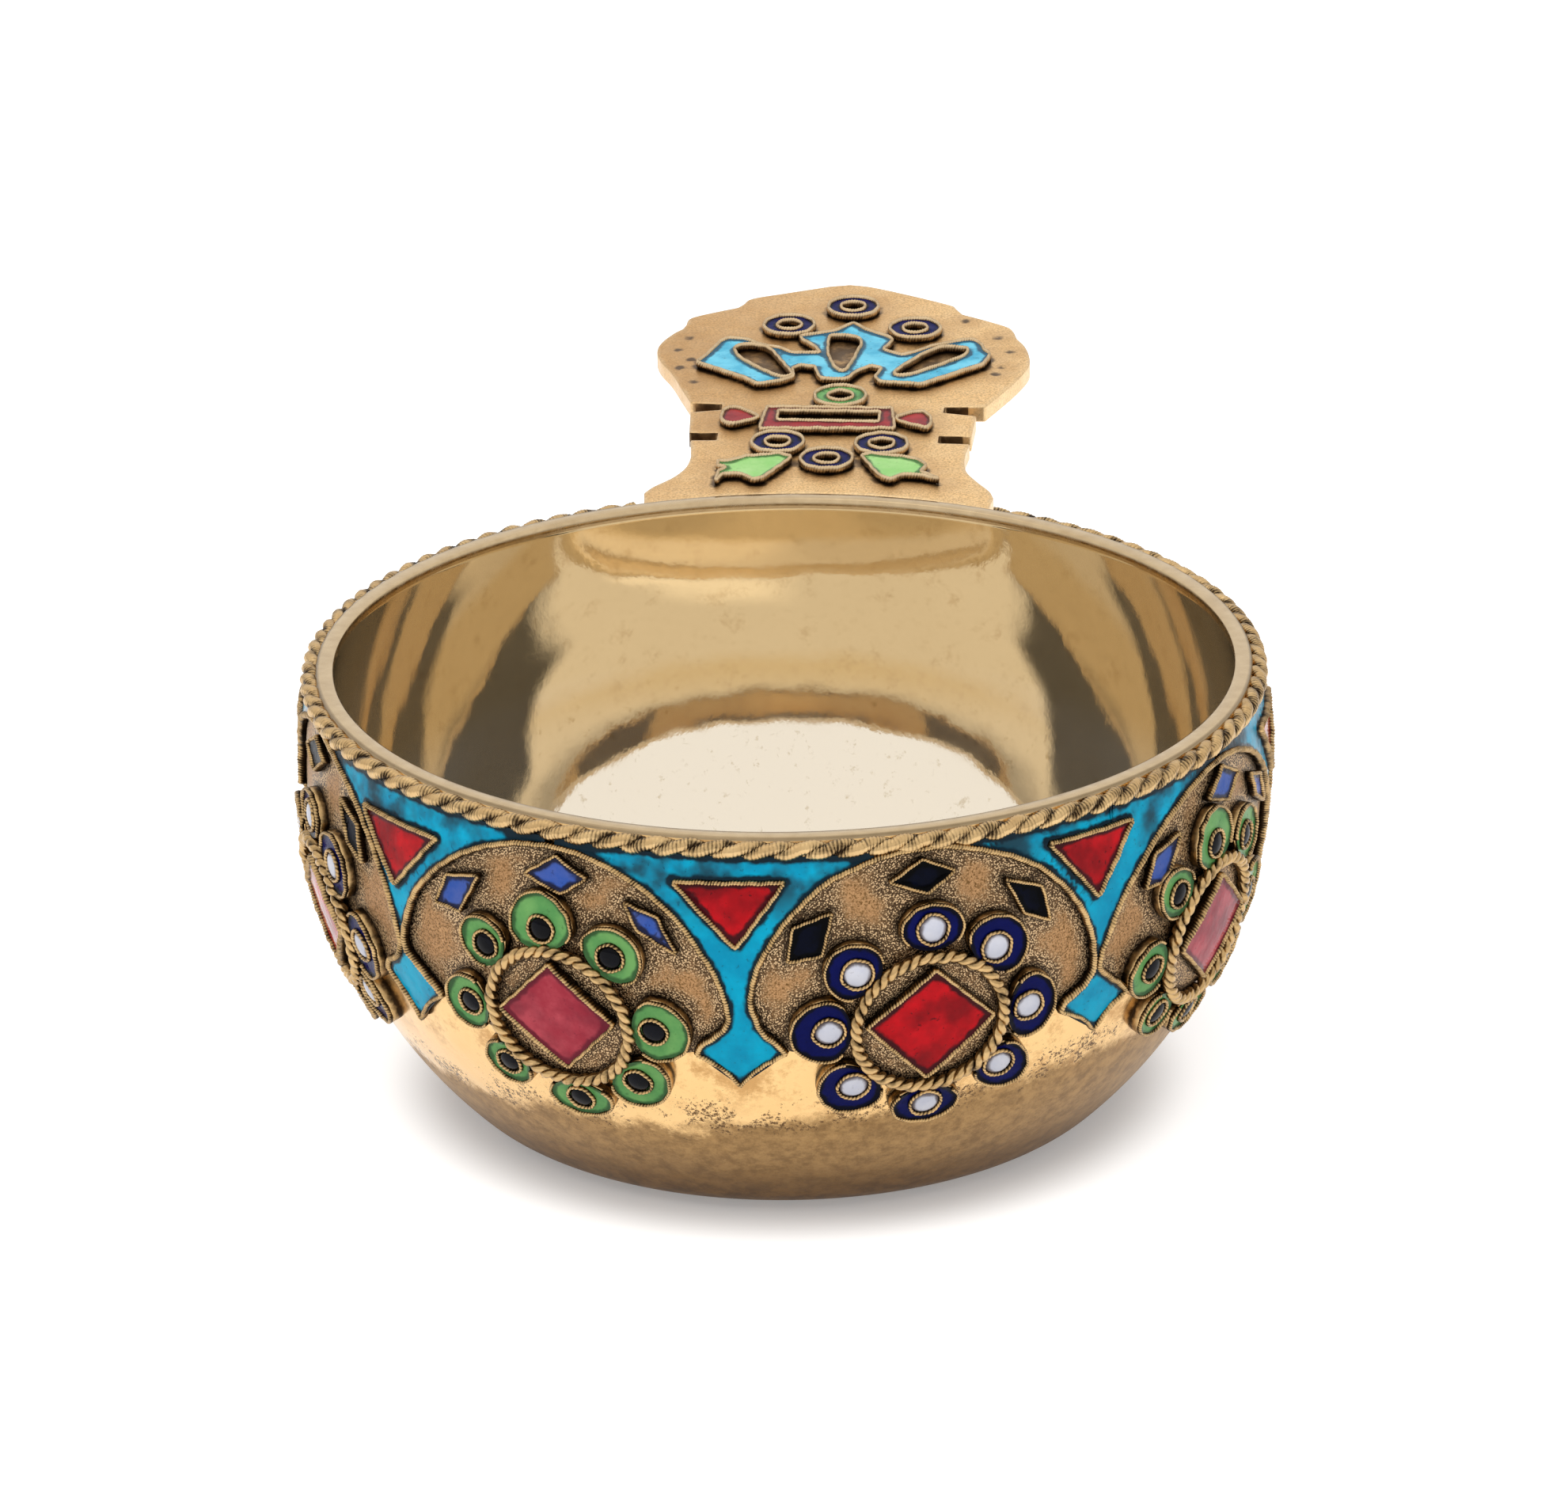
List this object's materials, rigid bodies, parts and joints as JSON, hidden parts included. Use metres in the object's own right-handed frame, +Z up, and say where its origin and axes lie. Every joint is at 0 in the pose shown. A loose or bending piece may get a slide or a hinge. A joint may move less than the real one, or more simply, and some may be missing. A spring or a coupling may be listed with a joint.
{
  "type": "handled drinking bowl",
  "caption": "Small round gilt bowl with a flat scalloped handle, a twisted-wire rim and raised wire-and-enamel medallions round its wall.",
  "frame": {"origin": "centre of the bowl's flat underside", "axes": "+Z up along the bowl's axis, +Y from the bowl's axis along the handle, -Y the front of the bowl"},
  "size_m": [0.0696, 0.1089, 0.0352],
  "materials": {
    "gilt_silver": "fire-gilt silver, polished inside and softly worn outside",
    "gilt_wire": "twisted gilt wire with dark patina in the hollows",
    "enamel_navy": "glossy opaque dark-blue enamel",
    "enamel_green": "glossy opaque green enamel",
    "enamel_red": "glossy translucent red enamel over metal",
    "enamel_rose": "glossy rose-red enamel",
    "enamel_turquoise": "glossy opaque turquoise enamel, darker beside the rope",
    "enamel_sky": "glossy sky-blue enamel with dark edges",
    "enamel_leaf": "glossy light-green enamel"
  },
  "bodies": {
    "root": {"bowl_body": "gilt_silver", "rim_rope": "gilt_wire", "handle_plate": "gilt_silver", "arch_wire_1": "gilt_wire", "petals_1": "enamel_navy", "medallion_rope_1": "gilt_wire", "red_panel_1": "enamel_red", "spandrel_1": "enamel_turquoise", "red_triangle_1": "enamel_red", "arch_wire_2": "gilt_wire", "petals_2": "enamel_green", "medallion_rope_2": "gilt_wire", "red_panel_2": "enamel_rose", "spandrel_2": "enamel_turquoise", "red_triangle_2": "enamel_red", "arch_wire_3": "gilt_wire", "petals_3": "enamel_navy", "medallion_rope_3": "gilt_wire", "red_panel_3": "enamel_red", "spandrel_3": "enamel_turquoise", "red_triangle_3": "enamel_red", "arch_wire_4": "gilt_wire", "petals_4": "enamel_green", "medallion_rope_4": "gilt_wire", "red_panel_4": "enamel_rose", "spandrel_4": "enamel_turquoise", "red_triangle_4": "enamel_red", "arch_wire_5": "gilt_wire", "petals_5": "enamel_navy", "medallion_rope_5": "gilt_wire", "red_panel_5": "enamel_red", "spandrel_5": "enamel_turquoise", "red_triangle_5": "enamel_red", "arch_wire_6": "gilt_wire", "petals_6": "enamel_green", "medallion_rope_6": "gilt_wire", "red_panel_6": "enamel_rose", "spandrel_6": "enamel_turquoise", "red_triangle_6": "enamel_red", "arch_wire_7": "gilt_wire", "petals_7": "enamel_navy", "medallion_rope_7": "gilt_wire", "red_panel_7": "enamel_red", "spandrel_7": "enamel_turquoise", "red_triangle_7": "enamel_red", "arch_wire_8": "gilt_wire", "petals_8": "enamel_green", "medallion_rope_8": "gilt_wire", "red_panel_8": "enamel_rose", "spandrel_8": "enamel_turquoise", "red_triangle_8": "enamel_red", "handle_crown": "enamel_sky", "handle_red_frame": "enamel_rose", "handle_leaf_spray": "enamel_leaf", "handle_ring_green": "enamel_green", "handle_ring_top": "enamel_navy", "handle_ring_left": "enamel_navy", "handle_ring_right": "enamel_navy", "handle_ring_lower_left": "enamel_navy", "handle_ring_lower_right": "enamel_navy"}
  },
  "joints": []
}
